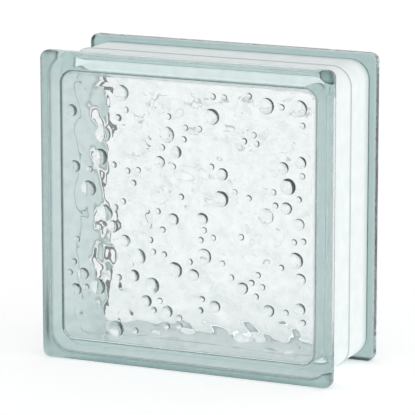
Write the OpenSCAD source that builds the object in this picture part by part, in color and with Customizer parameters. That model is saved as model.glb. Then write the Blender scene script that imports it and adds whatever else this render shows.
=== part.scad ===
// Hollow glass block for walls and partitions, standing on its edge.
// Two pressed glass halves are fused at mid-depth into one piece round a sealed cavity.
// X runs across the width, Y from the front face to the back face, Z up from the floor.

/* [Block] */
// Width across the faces
block_w = 190; // [150:1:240]
// Height of the faces
block_h = 190; // [150:1:240]
// Depth between the two outer faces
block_d = 80; // [70:1:100]
// Corner radius of the faces
face_corner_r = 5; // [4:0.5:12]

/* [Edge lips and mortar channel] */
// Thickness of the lip round each face, along the depth
lip_t = 9; // [8:0.5:14]
// Height of the lips over the channel floor
lip_h = 4; // [3:0.5:8]
// Rounding of the lip edges
lip_edge_r = 2.5; // [1:0.25:3]
// Corner radius of the channel floor
channel_corner_r = 12; // [8:0.5:20]
// Spread of the bevelled lip foot over the channel floor
foot_spread = 2.5; // [1:0.25:5]
// Rise of the bevelled lip foot up the lip
foot_rise = 1; // [0.5:0.25:1.25]
// Radius of the fused bead round the channel
bead_r = 2; // [1.5:0.25:4]
// Height of the fused bead over the channel floor
bead_h = 0.8; // [0.4:0.1:1.2]

/* [Cavity] */
// Thickness of the two face plates
plate_t = 8; // [6:0.5:12]
// Thickness of the four walls under the channel
wall_t = 7; // [5:0.5:10]
// Corner radius of the cavity
cavity_corner_r = 9; // [6:0.5:20]
// Rounding where the walls meet the face plates
cavity_edge_r = 4; // [2:0.5:5]

/* [Bubble relief] */
// Radius of the wide, shallow bubbles
bubble_wide_r = 10; // [6:0.25:10.25]
// Slope of the wide domes at their rim, in degrees
bubble_wide_slope = 11; // [8:1:24]
// Radius of the large bubbles
bubble_large_r = 5; // [3.5:0.25:5.25]
// Radius of the middle bubbles
bubble_middle_r = 3.75; // [2:0.25:4]
// Radius of the small bubbles
bubble_small_r = 2; // [1:0.25:2.25]
// Slope of the large and middle domes at their rim, in degrees
bubble_rim_slope = 38; // [30:1:60]
// Slope of the small domes at their rim, in degrees
bubble_small_slope = 46; // [30:1:60]

/* [Hidden] */

channel_w = block_w - 2 * lip_h;
channel_h = block_h - 2 * lip_h;
channel_d = block_d - 2 * lip_t;
cavity_w = channel_w - 2 * wall_t;
cavity_h = channel_h - 2 * wall_t;
cavity_d = block_d - 2 * plate_t;

// Bubble places on the inner face of a plate, [across, up] from its middle.
// Both halves come from one mould, so the back plate carries the same places, turned round.
wide_places = [
    [-59, 65], [-21, 69], [1, 68], [34, 63], [61, 53], [-32, 44], [20, 45], [42, 32],
    [5, 24], [-18, 16], [-31, -4], [51, -14], [-55, -28], [-41, -57], [-64, -66], [37, -63],
    [65, -67]
];
large_places = [
    [-42, 72], [-54, 46], [-56, 32], [-64, 12], [-12, 49], [52, 71], [73, 71], [17, 62],
    [66, 24], [23, 13], [52, 5], [12, -23], [71, -20], [-53, -2], [-58, -48], [-31, -27],
    [-7, -33], [-22, -44], [-46, -73]
];
middle_places = [
    [-6, 39], [-17, 32], [24, 28], [63, 35], [74, 39], [65, 11], [73, 2], [11, 0],
    [5, -35], [37, -40], [74, -31], [19, -53], [54, -52], [74, -49], [-48, -10], [-40, -18],
    [-68, -41], [-73, -51], [-34, -39], [-26, -54], [-12, -59], [-8, -2], [-73, 25], [-75, 59]
];
small_places = [
    [-39, 62], [-44, 57], [-47, 28], [-63, 24], [-38, 25], [-31, 26], [-34, 18], [-11, 60],
    [0, 54], [-1, 47], [-15, 41], [-8, 30], [-3, 12], [18, 74], [25, 74], [41, 76],
    [62, 71], [9, 54], [44, 53], [38, 49], [46, 48], [75, 61], [17, 32], [75, 31],
    [32, 18], [57, 20], [41, 15], [58, 12], [73, 17], [12, -7], [18, -11], [10, -13],
    [36, -9], [70, -9], [76, -8], [3, -27], [24, -26], [62, -25], [30, -34], [47, -31],
    [43, -36], [50, -38], [46, -44], [11, -49], [10, -56], [65, -52], [76, -57], [-41, 6],
    [-46, 2], [-57, -11], [-72, -20], [-74, -34], [-77, -41], [-66, -49], [-44, -41], [-23, -16],
    [-21, -23], [-14, -24], [-17, -53], [-21, -59], [-4, -62], [-12, -68], [-4, -67], [-33, -73],
    [-18, 2], [-15, -9]
];

// Rectangle with round corners, centred on the origin.
module rounded_rect(w, h, r) {
    square([w - 2 * r, h], center = true);
    square([w, h - 2 * r], center = true);
    for (sx = [-1, 1], sy = [-1, 1])
        translate([sx * (w / 2 - r), sy * (h / 2 - r)])
            circle(r, $fn = 48);
}

// Carries a section round a rounded rectangle.
// The section's x is measured outward from the corner centres, its y is the height.
module round_path(w, h, r) {
    for (turn = [0 : 3]) {
        along = turn % 2 == 0 ? h - 2 * r : w - 2 * r;
        out = turn % 2 == 0 ? w / 2 - r : h / 2 - r;
        rotate(90 * turn)
            translate([out, along / 2, 0]) {
                rotate([90, 0, 0])
                    linear_extrude(along)
                        children();
                rotate_extrude(angle = 90, $fn = 48)
                    children();
            }
    }
}

// Slab with round corners and with round edges on both faces, centred on the origin.
module rounded_slab(w, h, t, corner_r, edge_r) {
    linear_extrude(t, center = true)
        square([w - 2 * corner_r, h - 2 * corner_r], center = true);
    round_path(w, h, corner_r)
        translate([0, -t / 2]) {
            square([corner_r - edge_r, t]);
            translate([0, edge_r])
                square([corner_r, t - 2 * edge_r]);
            for (y = [edge_r, t - edge_r])
                translate([corner_r - edge_r, y])
                    circle(edge_r, $fn = 32);
        }
}

// Lip plate at one end of the depth, with its bevelled foot on the channel floor.
module lip() {
    translate([0, 0, block_d / 2 - lip_t / 2])
        rounded_slab(block_w, block_h, lip_t, face_corner_r, lip_edge_r);
    translate([0, 0, channel_d / 2])
        round_path(channel_w, channel_h, channel_corner_r)
            polygon([
                [channel_corner_r - 1, -foot_spread],
                [channel_corner_r, -foot_spread],
                [channel_corner_r + foot_rise, 0],
                [channel_corner_r + foot_rise, 1],
                [channel_corner_r - 1, 1]
            ]);
}

// Fused bead round the middle of the channel floor.
module bead() {
    round_path(channel_w, channel_h, channel_corner_r)
        translate([channel_corner_r - bead_r + bead_h, 0])
            circle(bead_r, $fn = 24);
}

// Spheres whose caps stand out of the plate's inner face as low domes.
module bubbles(places, r, slope, facets) {
    dome_r = r / sin(slope);
    for (place = places)
        translate([place[0], place[1], cavity_d / 2 + dome_r * cos(slope)])
            sphere(dome_r, $fn = facets);
}

// Cavity with the domes of both plates standing into it.
module cavity() {
    difference() {
        rounded_slab(cavity_w, cavity_h, cavity_d, cavity_corner_r, cavity_edge_r);
        for (turn = [0, 180])
            rotate([0, turn, 0]) {
                bubbles(wide_places, bubble_wide_r, bubble_wide_slope, 36);
                bubbles(large_places, bubble_large_r, bubble_rim_slope, 24);
                bubbles(middle_places, bubble_middle_r, bubble_rim_slope, 24);
                bubbles(small_places, bubble_small_r, bubble_small_slope, 24);
            }
    }
}

module glass_block() {
    color([0.80, 0.90, 0.88, 0.5])
        translate([0, 0, block_h / 2])
            rotate([90, 0, 0])
                difference() {
                    union() {
                        linear_extrude(channel_d + lip_t, center = true)
                            rounded_rect(channel_w, channel_h, channel_corner_r);
                        lip();
                        mirror([0, 0, 1])
                            lip();
                        bead();
                    }
                    cavity();
                }
}

glass_block();
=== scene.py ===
# %% [markdown]
# # A glass block
# A hollow glass block for walls: two pressed glass halves, fused at mid-depth round a sealed cavity.
# The CAD solid gives its box and the bubbles inside its plates. This lesson builds a smoother skin
# for it, gives that skin the look of clear glass, and stands it on a pale floor.

# %% Load the frame
import math
import bpy
import numpy as np
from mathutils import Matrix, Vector
from mathutils.geometry import delaunay_2d_cdt


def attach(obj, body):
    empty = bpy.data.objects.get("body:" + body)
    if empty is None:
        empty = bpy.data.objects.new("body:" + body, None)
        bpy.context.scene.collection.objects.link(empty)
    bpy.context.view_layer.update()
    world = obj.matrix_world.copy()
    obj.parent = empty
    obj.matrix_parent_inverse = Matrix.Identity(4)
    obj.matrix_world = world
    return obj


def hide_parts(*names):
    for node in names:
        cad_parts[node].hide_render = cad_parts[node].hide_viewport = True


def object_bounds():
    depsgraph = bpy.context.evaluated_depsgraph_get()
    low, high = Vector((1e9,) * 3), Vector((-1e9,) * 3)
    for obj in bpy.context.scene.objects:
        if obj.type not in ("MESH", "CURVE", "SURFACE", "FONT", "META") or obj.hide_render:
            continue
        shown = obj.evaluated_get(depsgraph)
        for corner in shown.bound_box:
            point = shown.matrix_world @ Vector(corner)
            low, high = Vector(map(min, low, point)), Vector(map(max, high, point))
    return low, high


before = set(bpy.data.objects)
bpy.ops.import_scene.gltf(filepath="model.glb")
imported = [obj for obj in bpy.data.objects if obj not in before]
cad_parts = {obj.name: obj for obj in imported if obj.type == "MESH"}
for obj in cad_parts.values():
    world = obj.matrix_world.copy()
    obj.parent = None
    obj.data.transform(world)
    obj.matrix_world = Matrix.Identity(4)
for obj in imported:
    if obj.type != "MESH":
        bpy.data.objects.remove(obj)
cad_low, cad_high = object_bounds()
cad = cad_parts["glass_block"].data
print("CAD box", [round(v, 4) for v in cad_low], [round(v, 4) for v in cad_high])

# %% [markdown]
# ## The section
# Every size of the block's section is a named length in metres. A name that ends in _t is a
# thickness, in _h a height and in _r a radius. The outer sizes come from the CAD box, so the skin
# can't grow out of it. The lips stand round both faces, and the channel between them takes the mortar.

# %% Sizes of the section
mm = 0.001
half_w = (cad_high.x - cad_low.x) / 2
half_h = (cad_high.z - cad_low.z) / 2
half_d = (cad_high.y - cad_low.y) / 2
middle_z = (cad_high.z + cad_low.z) / 2

lip_t = 9 * mm
lip_h = 4 * mm
face_edge_r = 4.5 * mm
lip_edge_r = 2 * mm
face_corner_r = 5 * mm
channel_corner_r = 12 * mm
foot_r = 1.4 * mm
bead_half_w = 1.6 * mm
bead_h = 0.8 * mm

plate_t = 8 * mm
wall_t = 7 * mm
cavity_corner_r = 9 * mm
cavity_edge_r = 4 * mm
inner_y = half_d - plate_t
wall_inset = lip_h + wall_t
panel_half = half_w - wall_inset - cavity_edge_r
print("block", round(2 * half_w / mm), "x", round(2 * half_d / mm), "x", round(2 * half_h / mm), "mm")

# %% [markdown]
# ## Reading the bubbles
# The pressed relief is a scatter of low domes, and the CAD mesh already holds each of them as a
# patch of a sphere. Their places could be typed again, but then a change to the solid would leave
# them behind, so the mesh is asked for them. First, vertices that triangles join get a number in
# common: each takes the lowest number next to it, again and again, until nothing changes.

# %% Group the vertices that belong together
cad_points = np.array([v.co for v in cad.vertices])
cad.calc_loop_triangles()
cad_triangles = np.array([t.vertices for t in cad.loop_triangles])


def group_joined(chosen):
    """A number for each vertex, the same for all chosen ones that triangles join."""
    unused = len(cad_points)
    label = np.where(chosen, np.arange(unused), unused)
    triangles = cad_triangles[chosen[cad_triangles].any(1)]
    while True:
        lowest = label[triangles].min(1)
        spread = label.copy()
        for corner in range(3):
            np.minimum.at(spread, triangles[:, corner], lowest)
        spread[~chosen] = unused
        if (spread == label).all():
            return label
        label = spread


print("CAD mesh", len(cad_points), "points", len(cad_triangles), "triangles")

# %% [markdown]
# The vertices that stand proud of a plate's inner face are grouped in this way, and a sphere is
# fitted to each group. The sphere and the face together give the dome's rim and its height.

# %% Fit a sphere to each dome
least_rise, most_rise = 0.01 * mm, plate_t


def fit_sphere(p):
    """Centre and radius of the sphere that lies closest to some points."""
    fit = np.linalg.lstsq(np.c_[2 * p, np.ones(len(p))], (p ** 2).sum(1), rcond=None)[0]
    return fit[:3], math.sqrt(fit[3] + (fit[:3] ** 2).sum())


def domes_of(plate_y, inward):
    """(across, up, rim radius, height) of each dome that stands inward from a plate's inner face."""
    proud = (cad_points[:, 1] - plate_y) * inward
    over_plate = np.abs(cad_points[:, [0, 2]] - (0, middle_z)).max(1) < panel_half
    on_dome = over_plate & (proud > least_rise) & (proud < most_rise)
    label = group_joined(on_dome)
    domes = []
    for name in np.unique(label[on_dome]):
        centre, r = fit_sphere(cad_points[label == name])
        height = r + (centre[1] - plate_y) * inward
        if height < most_rise:
            domes.append((centre[0], centre[2], math.sqrt(height * (2 * r - height)), height))
    return domes


front_domes = domes_of(-inner_y, 1)
back_domes = domes_of(inner_y, -1)
print("domes", len(front_domes), "in front,", len(back_domes), "behind; rims",
      sorted({round(d[2] / mm, 1) for d in front_domes}), "mm")

# %% [markdown]
# ## Points and faces
# The skin collects its points and faces in plain lists. True normals are kept with every point,
# because glass shows the smallest dent in its shading, and normals averaged from faces would dent
# it. Each point also keeps its finish: polished by the fire, satin as the mould left it, or painted
# under the channel's white coat. A face is coated where all its points are painted.

# %% Lists of the skin
polished, moulded, painted = 0.0, 1.0, 2.0
points, normals, finishes, faces, coated = [], [], [], [], []


def add_point(p, n, finish=polished):
    """Adds a point with its normal and its finish, and returns its number."""
    points.append(p)
    normals.append(n)
    finishes.append(finish)
    return len(points) - 1


def add_face(*corners):
    """A face, turned so that it looks the way its points' normals do."""
    loop = [Vector(points[c]) for c in corners]
    facing = sum((a.cross(b) for a, b in zip(loop, loop[1:] + loop[:1])), Vector())
    wanted = sum((Vector(normals[c]) for c in corners), Vector())
    faces.append(corners if facing.dot(wanted) > 0 else corners[::-1])
    coated.append(int(all(finishes[c] == painted for c in corners)))


print("finishes: polished", polished, "moulded", moulded, "painted", painted)

# %% [markdown]
# ## Rings round the block
# A box with bevels would round all its edges alike, and this block has other radii on its lips,
# its feet and its corners. So the skin is a stack of rings. Each ring is a rectangle with round
# corners, and a station says how far it lies inside the block's outline, at which depth, with which
# corner radius, which way the surface faces there, and its finish.

# %% Rings and the skin through them
corner_steps = 12


def add_ring(inset, y, corner_r, out, along, finish):
    """One ring of the skin. The surface faces out from the block by out and along Y by along."""
    ring = []
    for quarter in range(4):
        side_x = 1 if quarter in (0, 3) else -1
        side_z = 1 if quarter in (0, 1) else -1
        for step in range(corner_steps + 1):
            a = math.radians(90 * (quarter + step / corner_steps))
            x = side_x * (half_w - inset - corner_r) + corner_r * math.cos(a)
            z = side_z * (half_h - inset - corner_r) + corner_r * math.sin(a)
            n = (out * math.cos(a), along, out * math.sin(a))
            ring.append(add_point((x, y, middle_z + z), n, finish))
    return ring


def join_rings(a, b):
    """Quads between two rings that have as many points."""
    for i in range(len(a)):
        j = (i + 1) % len(a)
        add_face(a[i], a[j], b[j], b[i])


def skin(stations):
    """Rings through the stations, joined by quads. Returns the first and the last ring."""
    rings = [add_ring(*station) for station in stations]
    for a, b in zip(rings, rings[1:]):
        join_rings(a, b)
    return rings[0], rings[-1]


print("points in a ring", 4 * (corner_steps + 1))

# %% [markdown]
# ## The lips
# From the front face the section rounds over the edge of the face, runs along the lip, rounds over
# its inner edge and drops into the channel through a small fillet. The fire has polished the face
# and its edge. From there the lip turns satin, as the mould left it, most of all at its foot.

# %% Section of a lip
edge_steps, foot_steps = 8, 6
lip_y = -half_d + lip_t
lip_satin = 0.45


def quarter_turn(steps):
    """Angles from 0 to a right angle."""
    return [math.radians(90) * i / steps for i in range(steps + 1)]


half_section = []
for t in quarter_turn(edge_steps):
    inset = face_edge_r * (1 - math.sin(t))
    half_section.append((inset, -half_d + face_edge_r * (1 - math.cos(t)), face_corner_r - inset,
                         math.sin(t), -math.cos(t), polished))
for t in quarter_turn(edge_steps):
    inset = lip_edge_r * (1 - math.cos(t))
    half_section.append((inset, lip_y - lip_edge_r * (1 - math.sin(t)), face_corner_r - inset,
                         math.cos(t), math.sin(t), lip_satin + (moulded - lip_satin) * math.sin(t)))
for t in quarter_turn(foot_steps):
    inset = lip_h - foot_r * (1 - math.sin(t))
    half_section.append((inset, lip_y + foot_r * (1 - math.cos(t)), channel_corner_r + lip_h - inset,
                         math.sin(t), math.cos(t), moulded))
print("stations of a lip", len(half_section))

# %% [markdown]
# ## The channel
# The coat starts just past the foot of the lip, as brushed paint does, so the lip itself stays bare
# glass. At mid-depth the section swells over the bead where the halves were fused, in the shape of
# one wave. Both halves come from one mould, so the section is mirrored for the other half.

# %% Section of the channel and the outer skin
coat_gap, coat_edge = 0.3 * mm, 0.1 * mm
bead_steps = 8
coat_y = lip_y + foot_r + coat_gap
half_section.append((lip_h, coat_y, channel_corner_r, 1, 0, moulded))
half_section.append((lip_h, coat_y + coat_edge, channel_corner_r, 1, 0, painted))
for step in range(bead_steps + 1):
    y = bead_half_w * (step / bead_steps - 1)
    swell = bead_h * (0.5 + 0.5 * math.cos(math.pi * y / bead_half_w))
    slope = -bead_h * 0.5 * math.pi / bead_half_w * math.sin(math.pi * y / bead_half_w)
    n = Vector((1, -slope)).normalized()
    half_section.append((lip_h - swell, y, channel_corner_r + swell, n.x, n.y, painted))


def mirrored(stations):
    """Stations of the other half, in the order in which the section goes on."""
    return [(inset, -y, corner_r, out, -along, finish)
            for inset, y, corner_r, out, along, finish in stations[::-1]]


front_ring, back_ring = skin(half_section + mirrored(half_section[:-1]))
add_face(*front_ring)
add_face(*back_ring)
print("outer skin", len(points), "points", len(faces), "faces")

# %% [markdown]
# ## The inside
# The cavity could be cut from a solid block, but then its normals would be lost. So its walls are
# rings too, facing inward, with a fillet where they meet the plates.

# %% Cavity walls
inner_half = []
for t in quarter_turn(edge_steps):
    inset = wall_inset + cavity_edge_r * (1 - math.sin(t))
    inner_half.append((inset, -inner_y + cavity_edge_r * (1 - math.cos(t)),
                       cavity_corner_r - (inset - wall_inset), -math.sin(t), math.cos(t), polished))
front_outline, back_outline = skin(inner_half + mirrored(inner_half))
print("cavity walls", len(points), "points so far")

# %% [markdown]
# ## Waves
# Pressed glass is never quite flat where the plunger has touched it. Long, low waves bend what is
# seen through the block, and they break the straight edges behind it into wandering lines. A bump
# in the material would bend only the shading, so the waves are in the mesh. A sum of sines with
# seeded lengths and directions gives a height and an exact slope at every point.

# %% Waves of the pressed glass
wave_seed, wave_count = 7, 26
shortest_mm, longest_mm = 6, 22
wave_slope = 0.13
wave_fade = 6 * mm
draws = np.random.default_rng(wave_seed)
wave_length = draws.uniform(shortest_mm, longest_mm, wave_count) * mm
wave_turn = draws.uniform(0, math.pi, wave_count)
wave_start = draws.uniform(0, 2 * math.pi, wave_count)
wave_kx = 2 * math.pi / wave_length * np.cos(wave_turn)
wave_kz = 2 * math.pi / wave_length * np.sin(wave_turn)
wave_height = wave_slope * math.sqrt(2 / wave_count) / np.hypot(wave_kx, wave_kz)


def wave(x, z, side):
    """Height of the wavy inner face and its slopes across and up. It fades at the plate's edge."""
    fade_x, fade_z = [max(0, min(1, (panel_half - abs(v)) / wave_fade)) for v in (x, z - middle_z)]
    damp = fade_x * fade_z
    angle = wave_kx * x * side + wave_kz * z + wave_start + side
    height = wave_height * np.cos(angle)
    return (damp * height.sum(), -damp * side * (wave_height * wave_kx * np.sin(angle)).sum(),
            -damp * (wave_height * wave_kz * np.sin(angle)).sum())


print("waves", wave_count, "about", round(math.sqrt((wave_height ** 2).sum() / 2) / mm, 2), "mm high")

# %% [markdown]
# ## Bubbles
# Each dome is a small polar net that starts from a fillet at its foot, because the fire that
# polishes the glass softens every sharp corner. The fillet shrinks where a neighbour is near. In
# the section of a dome, the fillet is an arc that touches both the face and the dome's sphere.

# %% Profile of a dome
foot_share, foot_most = 0.2, 0.5 * mm
least_share, shrink, gap_share = 0.05, 0.9, 0.45
fillet_rings, cap_rings, rim_per_ring = 4, 5, 2.5 * mm


def fillet(rim, height, foot):
    """Radius of a dome's sphere, the angle where the fillet meets it, and the reach of the fillet."""
    r = (rim ** 2 + height ** 2) / (2 * height)
    meet = math.acos((foot + r - height) / (r + foot))
    return r, meet, (r + foot) * math.sin(meet)


def foot_of(k, domes):
    """Radius of the fillet at a dome's foot: a share of its rim, less where a neighbour is near."""
    x, z, rim, height = domes[k]
    gap = min(math.hypot(x - d[0], z - d[1]) - rim - d[2] for i, d in enumerate(domes) if i != k)
    foot = min(foot_share * rim, foot_most)
    while foot > least_share * rim and fillet(rim, height, foot)[2] - rim >= gap_share * gap:
        foot *= shrink
    return foot


def dome_profile(rim, height, foot):
    """(radius, height, slope) from the dome's foot up to its crown."""
    r, meet, reach = fillet(rim, height, foot)
    profile = [(reach - foot * math.sin(a), foot * (1 - math.cos(a)), a)
               for a in np.linspace(0, meet, fillet_rings)]
    profile += [(r * math.sin(a), r * math.cos(a) - r + height, a)
                for a in np.linspace(meet, 0, cap_rings + round(rim / rim_per_ring))[1:]]
    return profile


feet = [foot_of(k, front_domes) / mm for k in range(len(front_domes))]
print("fillets at the feet from", round(min(feet), 2), "to", round(max(feet), 2), "mm")

# %% [markdown]
# The rings of a dome ride on the waves, so each of their points adds the wave's height and slope to
# its own. A wider dome gets more points in a ring, so that its rim looks as round.

# %% Net of a dome
around_least, around_per_mm = 16, 4


def add_relief_point(x, z, up, slope_x, slope_z, plate_y, inward):
    """A point that stands up from the wavy face of a plate."""
    rise, wave_x, wave_z = wave(x, z, inward)
    n = (-slope_x - wave_x, inward, -slope_z - wave_z)
    return add_point((x, plate_y + inward * (up + rise), z), n)


def add_dome(x, z, profile, around, plate_y, inward):
    """Rings of a dome and its crown. Returns the ring at its foot."""
    rings = []
    for radius, up, slope in profile[:-1]:
        fall = -math.tan(slope)
        ring = []
        for i in range(around):
            c, s = math.cos(2 * math.pi * i / around), math.sin(2 * math.pi * i / around)
            ring.append(add_relief_point(x + radius * c, z + radius * s, up, fall * c, fall * s,
                                         plate_y, inward))
        rings.append(ring)
    for lower, upper in zip(rings, rings[1:]):
        join_rings(lower, upper)
    crown = add_relief_point(x, z, profile[-1][1], 0, 0, plate_y, inward)
    for i in range(around):
        add_face(rings[-1][i], rings[-1][(i + 1) % around], crown)
    return rings[0]


widest = max(d[2] for d in front_domes)
print("points round the widest dome", around_least + around_per_mm * round(widest / mm))

# %% [markdown]
# ## The two plates
# A constrained triangulation fills the wavy face between the outline and the feet of the domes,
# with loose grid points in between that let the waves bend it. It fills the feet as well, so
# triangles with all three corners on one foot are left out: the dome is there already.

# %% Relief of the two plates
grid_step = 2.5 * mm
grid_gap = 0.4 * grid_step
inside_only, same_point = 1, 1e-7


def loose_points(domes, reach):
    """Places of a grid that keep clear of the domes, each of which reaches so far from its middle."""
    spots = np.array([d[:2] for d in domes])
    clear_of = np.array(reach) + grid_gap
    steps = int(panel_half / grid_step)
    for x in np.arange(-steps + 1, steps) * grid_step:
        for z in np.arange(-steps + 1, steps) * grid_step + middle_z:
            if (np.hypot(spots[:, 0] - x, spots[:, 1] - z) > clear_of).all():
                yield x, z


def relief(outline, domes, plate_y, inward):
    """Wavy face inside an outline with the domes standing on it."""
    loops, reach = [(outline, None)], []
    for k, (x, z, rim, height) in enumerate(domes):
        profile = dome_profile(rim, height, foot_of(k, domes))
        around = around_least + around_per_mm * round(rim / mm)
        loops.append((add_dome(x, z, profile, around, plate_y, inward), k))
        reach.append(profile[0][0])
    owner, dome_of, edges = [], [], []
    for loop, k in loops:
        first, count = len(owner), len(loop)
        edges += [(first + i, first + (i + 1) % count) for i in range(count)]
        owner += loop
        dome_of += [k] * count
    for x, z in loose_points(domes, reach):
        owner.append(add_relief_point(x, z, 0, 0, 0, plate_y, inward))
        dome_of.append(None)
    flat = [Vector((points[i][0], points[i][2])) for i in owner]
    _, _, triangles, origins, _, _ = delaunay_2d_cdt(flat, edges, [], inside_only, same_point)
    for triangle in triangles:
        corners = [origins[i][0] for i in triangle]
        feet_met = {dome_of[c] for c in corners}
        if len(feet_met) > 1 or None in feet_met:
            add_face(*[owner[c] for c in corners])


relief(front_outline, front_domes, -inner_y, 1)
relief(back_outline, back_domes, inner_y, -1)
print("whole skin", len(points), "points", len(faces), "faces")

# %% [markdown]
# ## One object
# Points, faces and true normals become one mesh that stands for the CAD node. A point attribute
# carries the finish, and faces under the coat get a material of their own. The coat could be a
# second mesh a hair above the glass, but then a gap would show between them in the glass.

# %% Mesh of the glass block
mesh = bpy.data.meshes.new("glass_block_skin")
mesh.from_pydata([Vector(p) for p in points], [], faces)
mesh.attributes.new("satin", "FLOAT", "POINT").data.foreach_set("value", finishes)
mesh.shade_smooth()
mesh.normals_split_custom_set_from_vertices([Vector(n).normalized() for n in normals])
block = bpy.data.objects.new("glass_block_skin", mesh)
bpy.context.scene.collection.objects.link(block)
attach(block, "root")
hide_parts("glass_block")
print("triangles", sum(len(f) - 2 for f in faces), "and faces under the coat", sum(coated))

# %% [markdown]
# ## Wiring nodes
# A material is a tree of nodes, and a socket takes either a plain value or the output of another
# node. One helper does both, and three more make the nodes that come again and again in this file:
# arithmetic, ramps from one level to another, and blends of two colours.

# %% Helpers for nodes
def feed(tree, socket, value):
    """Sets a socket to a number or to a colour of three numbers, or links it to a node's output."""
    if isinstance(value, tuple):
        socket.default_value = (*value, 1)
    elif isinstance(value, (int, float)):
        socket.default_value = value
    else:
        tree.links.new(value, socket)


def math_node(tree, operation, *values):
    """Result of a math node."""
    node = tree.nodes.new("ShaderNodeMath")
    node.operation = operation
    for socket, value in zip(node.inputs, values):
        feed(tree, socket, value)
    return node.outputs["Value"]


def ramp(tree, value, start, end, first, last, soft=False):
    """The first level up to the start, the last one past the end, and a slope between them."""
    node = tree.nodes.new("ShaderNodeMapRange")
    node.interpolation_type = "SMOOTHSTEP" if soft else "LINEAR"
    levels = {"Value": value, "From Min": start, "From Max": end, "To Min": first, "To Max": last}
    for name, level in levels.items():
        feed(tree, node.inputs[name], level)
    return node.outputs["Result"]


def blend(tree, a, b, share):
    """Colour a, or b where the share is 1."""
    node = tree.nodes.new("ShaderNodeMix")
    node.data_type = "RGBA"
    for name, value in {"A": a, "B": b, "Factor": share}.items():
        feed(tree, node.inputs[name], value)
    return node.outputs["Result"]


print("helpers for nodes: feed, math_node, ramp, blend")

# %% [markdown]
# ## Grain
# A mould leaves a fine, uneven grain on what it touches last, and paint keeps the grain of the
# brush. Both finishes need the same thing, a soft noise with a chosen size and contrast, so it is
# made once as a node group and placed in each material with its own values.

# %% Node group for the grain
def new_group(name, **values):
    """An empty node group with named number inputs and one output, Value."""
    group = bpy.data.node_groups.new(name, "ShaderNodeTree")
    for socket_name, value in values.items():
        socket = group.interface.new_socket(socket_name, in_out="INPUT", socket_type="NodeSocketFloat")
        socket.default_value = value
    group.interface.new_socket("Value", in_out="OUTPUT", socket_type="NodeSocketFloat")
    return group, group.nodes.new("NodeGroupInput"), group.nodes.new("NodeGroupOutput")


noise_middle = 0.5
grain, given, result = new_group("pressed_grain", Scale=400, Contrast=1)
place = grain.nodes.new("ShaderNodeTexCoord")
noise = grain.nodes.new("ShaderNodeTexNoise")
noise.inputs["Detail"].default_value = 3
grain.links.new(place.outputs["Object"], noise.inputs["Vector"])
grain.links.new(given.outputs["Scale"], noise.inputs["Scale"])
swing = math_node(grain, "SUBTRACT", noise.outputs["Fac"], noise_middle)
swing = math_node(grain, "MULTIPLY_ADD", swing, given.outputs["Contrast"], noise_middle)
swing.node.use_clamp = True
grain.links.new(swing, result.inputs["Value"])
print("group", grain.name, [item.name for item in grain.interface.items_tree])

# %% [markdown]
# ## Depth
# Both finishes also change along the block's depth: the plates carry grey clouding, which is painted
# shade, and the walls between them do not, and the coat is greyer along the seam at mid-depth. A
# second group measures how far a point lies from mid-depth. Its value goes from 0 at the start to 1 at
# the end, and an end that is nearer than the start turns it round.

# %% Node group for the depth
band, given, result = new_group("depth_band", Start=0, End=0.01)
place = band.nodes.new("ShaderNodeTexCoord")
axes = band.nodes.new("ShaderNodeSeparateXYZ")
band.links.new(place.outputs["Object"], axes.inputs["Vector"])
depth = math_node(band, "ABSOLUTE", axes.outputs["Y"])
rise = ramp(band, depth, given.outputs["Start"], given.outputs["End"], 0, 1)
band.links.new(rise, result.inputs["Value"])
print("group", band.name, [item.name for item in band.interface.items_tree])

# %% [markdown]
# ## Clear glass
# Plain glass is almost colourless through a plate, but a long way through it turns green, because a
# little iron in it takes away red. A green Base Color would tint thin and thick glass alike.
# Absorption in the volume knows the difference by itself: thin plates stay clear, and the rims,
# which are seen lengthwise, go green. The moulded lips are satin, so the point attribute makes them
# rough, and the grain varies that.

# %% Glass material
def place_group(tree, group, **values):
    """Value of a group, placed in a material with values of its own."""
    node = tree.nodes.new("ShaderNodeGroup")
    node.node_tree = group
    for name, value in values.items():
        feed(tree, node.inputs[name], value)
    return node.outputs["Value"]


least_frost, most_frost = 0.3, 0.6
iron_tint, iron_density = (0.1, 0.6, 0.58), 3.4
glass = bpy.data.materials.new("clear_glass")
glass.use_nodes = True
tree = glass.node_tree
surface = tree.nodes["Principled BSDF"]
surface.inputs["Transmission Weight"].default_value = 1
surface.inputs["IOR"].default_value = 1.52
satin = tree.nodes.new("ShaderNodeAttribute")
satin.attribute_name = "satin"
frost = ramp(tree, place_group(tree, grain, Scale=700, Contrast=2), 0, 1, least_frost, most_frost)
roughness = math_node(tree, "MULTIPLY", satin.outputs["Fac"], frost)
tree.links.new(roughness, surface.inputs["Roughness"])
iron = tree.nodes.new("ShaderNodeVolumeAbsorption")
iron.inputs["Color"].default_value = (*iron_tint, 1)
iron.inputs["Density"].default_value = iron_density
tree.links.new(iron.outputs["Volume"], tree.nodes["Material Output"].inputs["Volume"])
mesh.materials.append(glass)
red_left = math.exp(-iron_density * (1 - iron_tint[0]) * 100 * mm)
print("red left after 100 mm of glass", round(red_left, 2))

# %% [markdown]
# Faint grey clouds are painted into the plates' Base Color: painted shade that stands in for the
# darker surroundings which the waves bend into view. A coarser grain draws those, and the depth keeps
# them to the plates. The lips' Base Color is darker and greener: partly the satin glass's own tint,
# mostly painted shade for the dark room that rays scattered by the satin reach.

# %% Colour of the glass
# Painted shade: the grey of the clouds in the plates, and most of the darkness of the lips' satin
# tint.
clear, painted_shade_grey, satin_tint_and_shade = (1.0, 1.0, 1.0), (0.90, 0.92, 0.92), (0.2, 0.34, 0.333)
painted_shade_start, painted_shade_end = inner_y - 5 * mm, inner_y - 2 * mm
clouds = place_group(tree, grain, Scale=170, Contrast=3.5)
plates = place_group(tree, band, Start=painted_shade_start, End=painted_shade_end)
# The plates' colour, with the painted shade of the clouds.
pressed = blend(tree, clear, blend(tree, painted_shade_grey, clear, clouds), plates)
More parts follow.
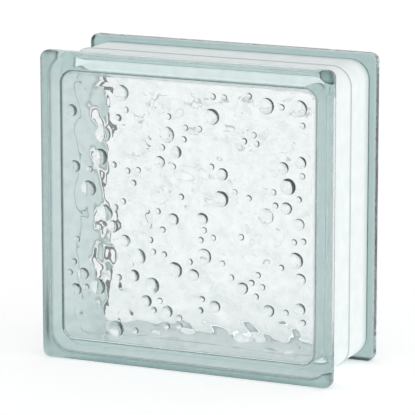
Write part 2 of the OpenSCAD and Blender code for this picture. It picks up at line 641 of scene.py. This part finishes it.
# The lips' colour is partly their green tint and mostly painted shade.
tree.links.new(blend(tree, pressed, satin_tint_and_shade, satin.outputs["Fac"]), surface.inputs["Base Color"])
print("clouds start", round(painted_shade_start / mm), "mm from mid-depth")

# %% [markdown]
# ## White coat
# The channel of such a block is coated white, so that mortar grips it and no grey joint shows
# through the glass. The coat is opaque and matt. Its inside, seen through the glass, is painted
# brighter than its outside: painted light for the light that reaches the walls inside. Outside, a
# brushed grain makes it uneven. Towards the lips it is painted darker, painted shade where the channel
# meets the lips, and outside also greener, partly as glass shows through where the coat gets thinner.
# Along the bead, where the halves were fused, it is greyer in a narrow line.

# %% Coat material
coat = bpy.data.materials.new("channel_coat")
coat.use_nodes = True
tree = coat.node_tree
paint = tree.nodes["Principled BSDF"]
paint.inputs["Roughness"].default_value = 1
paint.inputs["Specular IOR Level"].default_value = 0

# Painted light: the colour inside, behind the glass, is brighter than the outside's two grain tones.
dull, fresh, inside_painted_light = (0.80, 0.85, 0.85), (0.86, 0.90, 0.90), (0.99, 1.0, 1.0)
# By the lips: painted shade, darker outside and inside, and greener outside.
thin_coat_and_shade, painted_edge_shade, seam_grey = (0.58, 0.70, 0.69), (0.45, 0.54, 0.53), (0.42, 0.49, 0.48)
coat_end = half_d - lip_t - foot_r
thin_and_shade_w = 8 * mm
seam_half_w, seam_core = 1.2 * mm, 0.3 * mm
brushed = place_group(tree, grain, Scale=120, Contrast=2.5)
# The band by the lips where the painted shade lies.
thin_and_shade_band = place_group(tree, band, Start=coat_end - thin_and_shade_w, End=coat_end)
seam = place_group(tree, band, Start=seam_half_w, End=seam_core)
facing = tree.nodes.new("ShaderNodeNewGeometry")
outside_coat = blend(tree, blend(tree, dull, fresh, brushed), thin_coat_and_shade, thin_and_shade_band)
# Inside: painted light, with painted shade by the lips.
inside_coat = blend(tree, inside_painted_light, painted_edge_shade, thin_and_shade_band)
both_sides = blend(tree, outside_coat, inside_coat, facing.outputs["Backfacing"])
tree.links.new(blend(tree, both_sides, seam_grey, seam), paint.inputs["Base Color"])

mesh.materials.append(coat)
mesh.polygons.foreach_set("material_index", coated)
print("materials", [m.name for m in mesh.materials])

# %% [markdown]
# ## Level of the studio
# Glass shows its surroundings, so they are part of its look. What is seen straight through the
# block is white. Rays that were mirrored inside the glass leave it in all directions, and in a real
# studio most of those end in the dark part of the room. The level therefore falls with each mirror
# bounce past the first, and that draws the dark crescents on the bubbles from every side. Light
# that a matt surface has scattered counts in full.

# %% Level for the floor and the world
mirror_fall = 0.05


def studio_level(tree):
    """1 for what is seen straight, through the glass or by scattered light, less for mirrored rays."""
    path = tree.nodes.new("ShaderNodeLightPath")
    extra = math_node(tree, "SUBTRACT", path.outputs["Glossy Depth"], 1)
    fallen = math_node(tree, "POWER", mirror_fall, math_node(tree, "MAXIMUM", extra, 0))
    scattered = math_node(tree, "MINIMUM", path.outputs["Diffuse Depth"], 1)
    return math_node(tree, "MAXIMUM", fallen, scattered)


print("level after 1, 2 and 3 mirror bounces", [round(mirror_fall ** k, 4) for k in range(3)])

# %% [markdown]
# ## Floor
# A plain pale floor keeps the block's soft shadow. It gives a little light of its own, which brings
# its colour up to white round the block. Further off, past the edge of the picture, its colour and
# glow are painted down to a light grey: a painted falloff of light, as a lit floor shows.
# The waves and bubbles bend some rays that far, and so they show.

# %% Pale floor
floor_radius, floor_sides = 6, 96
white_to, grey_from, grey_level = 1.5, 3.5, 0.6
floor_colour, floor_glow = 0.8, 0.33
bpy.ops.mesh.primitive_circle_add(vertices=floor_sides, radius=floor_radius, fill_type="NGON")
floor = bpy.context.object
floor.name = "floor"
pale = bpy.data.materials.new("pale_floor")
pale.use_nodes = True
tree = pale.node_tree
matt = tree.nodes["Principled BSDF"]
matt.inputs["Roughness"].default_value = 1
matt.inputs["Specular IOR Level"].default_value = 0
matt.inputs["Emission Strength"].default_value = floor_glow
spot = tree.nodes.new("ShaderNodeTexCoord")
away = tree.nodes.new("ShaderNodeVectorMath")
away.operation = "LENGTH"
tree.links.new(spot.outputs["Object"], away.inputs[0])
# Painted falloff of light: the floor's colour falls to grey far from the block.
grey = ramp(tree, away.outputs["Value"], white_to, grey_from, 1, grey_level, soft=True)
level = math_node(tree, "MULTIPLY", studio_level(tree), grey)
tree.links.new(math_node(tree, "MULTIPLY", level, floor_colour), matt.inputs["Base Color"])
tree.links.new(level, matt.inputs["Emission Color"])
floor.data.materials.append(pale)
print("floor", floor.dimensions.x, "m across")

# %% [markdown]
# ## Dark cards
# Clear glass on white all but vanishes. In a studio, dark cards stand beside it, out of sight of
# the camera, so that its edges pick up dark lines. These cards are seen only in the glass, and
# light that has been scattered passes them, so they take nothing from the coat's brightness.

# %% Material of the cards
dark = bpy.data.materials.new("dark_flag_and_shadow_sheet")
dark.use_nodes = True
tree = dark.node_tree
card_face = tree.nodes["Principled BSDF"]
card_face.inputs["Base Color"].default_value = (0.2, 0.2, 0.2, 1)
card_face.inputs["Roughness"].default_value = 1
card_face.inputs["Specular IOR Level"].default_value = 0
path = tree.nodes.new("ShaderNodeLightPath")
gone = tree.nodes.new("ShaderNodeBsdfTransparent")
seen = tree.nodes.new("ShaderNodeMixShader")
tree.links.new(math_node(tree, "MINIMUM", path.outputs["Diffuse Depth"], 1), seen.inputs["Fac"])
tree.links.new(card_face.outputs["BSDF"], seen.inputs[1])
tree.links.new(gone.outputs["BSDF"], seen.inputs[2])
tree.links.new(seen.outputs["Shader"], tree.nodes["Material Output"].inputs["Surface"])
print("material", dark.name)

# %% [markdown]
# Each card stands upright, and its foot lies along the floor towards the block, narrower at the
# end. The foot is a painted shadow: a dark sheet on the floor near the block, in place of the shade
# there, so glass that bends rays down to the floor finds something dark there too.

# %% Two cards beside the block
card_near, card_far, card_tall = 0.11, 0.26, 0.5
card_half_w, foot_end_half_w = 0.19, 0.076
card_lift = 0.001


def add_card(side):
    """A card that stands beside the block, with a foot that lies on the floor up to it: a dark sheet
    of painted shadow.
    """
    near, far = card_near * side, card_far * side
    corners = [(far, -card_half_w, card_tall), (far, card_half_w, card_tall),
               (far, -card_half_w, card_lift), (far, card_half_w, card_lift),
               (near, -foot_end_half_w, card_lift), (near, foot_end_half_w, card_lift)]
    card = bpy.data.meshes.new("dark_flag_and_shadow_sheet")
    card.from_pydata(corners, [], [(0, 1, 3, 2), (2, 3, 5, 4)])
    card.materials.append(dark)
    stand = bpy.data.objects.new("dark_flag_and_shadow_sheet", card)
    bpy.context.scene.collection.objects.link(stand)
    stand.visible_camera = False
    stand.visible_diffuse = False
    stand.visible_shadow = False


add_card(-1)
add_card(1)
print("cards", card_tall, "m tall,", card_far, "m to the left and to the right")

# %% [markdown]
# ## Bounces
# Light finds its way through thick glass over many bounces, so more of them are allowed than
# Blender starts with. Blurring of mirrored paths is off, because it would swallow the light that
# the coat scatters inside the glass.

# %% Bounces of light
cycles = bpy.context.scene.cycles
cycles.blur_glossy = 0
cycles.glossy_bounces = 8
cycles.diffuse_bounces = 8
cycles.transmission_bounces = 24
cycles.max_bounces = 24
print("bounces", cycles.max_bounces, "at most")

# %% [markdown]
# ## Light
# Lamps would show as hard spots in the glass, so the light is a white room: softer from above,
# stronger from the right and a little stronger from the front, like large windows on those sides.

# %% World
world = bpy.data.worlds.new("studio")
bpy.context.scene.world = world
world.use_nodes = True
world.cycles.sampling_method = "NONE"
tree = world.node_tree
direction = tree.nodes.new("ShaderNodeTexCoord")
axes = tree.nodes.new("ShaderNodeSeparateXYZ")
tree.links.new(direction.outputs["Generated"], axes.inputs["Vector"])

above = ramp(tree, axes.outputs["Z"], start=0.02, end=0.6, first=1, last=0.66, soft=True)
from_right = ramp(tree, axes.outputs["X"], start=-0.1, end=0.6, first=1, last=1.4, soft=True)
from_front = ramp(tree, axes.outputs["Y"], start=0.1, end=-0.6, first=1, last=1.25, soft=True)
room = above
for share in (from_right, from_front, studio_level(tree)):
    room = math_node(tree, "MULTIPLY", room, share)
tree.links.new(room, tree.nodes["Background"].inputs["Color"])
tree.nodes["Background"].inputs["Strength"].default_value = 1
print("world", world.name, "at strength 1")

# %% [markdown]
# ## Camera
# A long lens from the right and a little above, as far away as the converging edges say. The
# focal length and the block's middle are given in pixels of the square picture.

# %% Camera
azimuth, elevation = math.radians(24.2), math.radians(12.1)
distance = 1.95
focal_px, image_px = 3225, 415
centre_px = (209.4, 206.0)

back = Vector((math.sin(azimuth) * math.cos(elevation), -math.cos(azimuth) * math.cos(elevation),
               math.sin(elevation)))
right = Vector((math.cos(azimuth), math.sin(azimuth), 0))
up = back.cross(right)
per_px = distance / focal_px
aim = (Vector((0, 0, middle_z)) - right * (centre_px[0] - image_px / 2) * per_px
       + up * (centre_px[1] - image_px / 2) * per_px)
lens = bpy.data.cameras.new("camera")
lens.sensor_width = 36
lens.lens = focal_px / image_px * lens.sensor_width
camera = bpy.data.objects.new("camera", lens)
camera.location = aim + back * distance
camera.rotation_mode = "QUATERNION"
camera.rotation_quaternion = (-back).to_track_quat("-Z", "Y")
bpy.context.scene.collection.objects.link(camera)
bpy.context.scene.camera = camera
bpy.context.scene.view_settings.view_transform = "Standard"
print("lens", round(lens.lens), "mm at", distance, "m")
